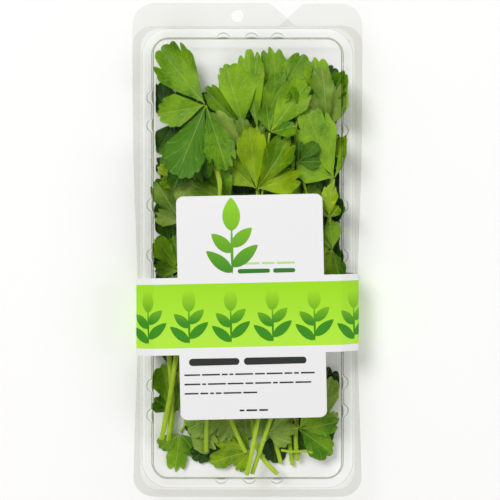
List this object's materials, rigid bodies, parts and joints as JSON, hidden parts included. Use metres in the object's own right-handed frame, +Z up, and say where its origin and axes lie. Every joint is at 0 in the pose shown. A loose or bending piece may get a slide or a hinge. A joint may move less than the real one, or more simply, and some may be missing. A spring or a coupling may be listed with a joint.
{
  "type": "packed parsley bunch",
  "caption": "Bunch of cut flat-leaf parsley sprigs in a clear hinged clamshell pack with a hang tab and a cross-shaped paper label.",
  "frame": {"origin": "under the middle of the pack, level with the underside of the tray's floor", "axes": "+Y along the pack towards its hang tab, +Z up out of the lid with the pack on its back, +X to the right as seen from above with the hang tab at the top"},
  "size_m": [0.115, 0.2466, 0.0265],
  "materials": {
    "clear_pet": "clear thermoformed PET sheet, glossy",
    "label_paper": "coated paper, printed",
    "parsley_leaf": "fresh leaf, semi-matt with a waxy sheen",
    "parsley_stem": "fresh stem, smooth and slightly glossy"
  },
  "bodies": {
    "tray": {"tray": "clear_pet", "label_tail_left": "label_paper", "label_tail_right": "label_paper", "sprig_01_stem": "parsley_stem", "sprig_01_leaf_a": "parsley_leaf", "sprig_01_leaf_b": "parsley_leaf", "sprig_01_leaf_c": "parsley_leaf", "sprig_01_leaf_d": "parsley_leaf", "sprig_02_stem": "parsley_stem", "sprig_02_leaf_a": "parsley_leaf", "sprig_02_leaf_b": "parsley_leaf", "sprig_02_leaf_c": "parsley_leaf", "sprig_02_leaf_d": "parsley_leaf", "sprig_03_stem": "parsley_stem", "sprig_03_leaf_a": "parsley_leaf", "sprig_03_leaf_b": "parsley_leaf", "sprig_03_leaf_c": "parsley_leaf", "sprig_03_leaf_d": "parsley_leaf", "sprig_04_stem": "parsley_stem", "sprig_04_leaf_a": "parsley_leaf", "sprig_04_leaf_b": "parsley_leaf", "sprig_05_stem": "parsley_stem", "sprig_05_leaf_a": "parsley_leaf", "sprig_05_leaf_b": "parsley_leaf", "sprig_05_leaf_c": "parsley_leaf", "sprig_06_stem": "parsley_stem", "sprig_06_leaf_a": "parsley_leaf", "sprig_06_leaf_b": "parsley_leaf", "sprig_06_leaf_c": "parsley_leaf", "sprig_07_stem": "parsley_stem", "sprig_07_leaf_a": "parsley_leaf", "sprig_07_leaf_b": "parsley_leaf", "sprig_07_leaf_c": "parsley_leaf", "sprig_08_stem": "parsley_stem", "sprig_08_leaf_a": "parsley_leaf", "sprig_08_leaf_b": "parsley_leaf", "sprig_08_leaf_c": "parsley_leaf", "sprig_09_stem": "parsley_stem", "sprig_09_leaf_a": "parsley_leaf", "sprig_09_leaf_b": "parsley_leaf", "sprig_09_leaf_c": "parsley_leaf", "sprig_09_leaf_d": "parsley_leaf", "sprig_10_stem": "parsley_stem", "sprig_10_leaf_a": "parsley_leaf", "sprig_10_leaf_b": "parsley_leaf", "sprig_10_leaf_c": "parsley_leaf", "sprig_11_stem": "parsley_stem", "sprig_11_leaf_a": "parsley_leaf", "sprig_11_leaf_b": "parsley_leaf"},
    "lid": {"lid": "clear_pet", "label": "label_paper"}
  },
  "joints": [
    {"name": "lid_hinge", "type": "hinge", "parent": "tray", "child": "lid", "pos_m": [0, -0.1236, 0.02015], "axis": [1, 0, 0], "range_deg": [0, 180]}
  ]
}
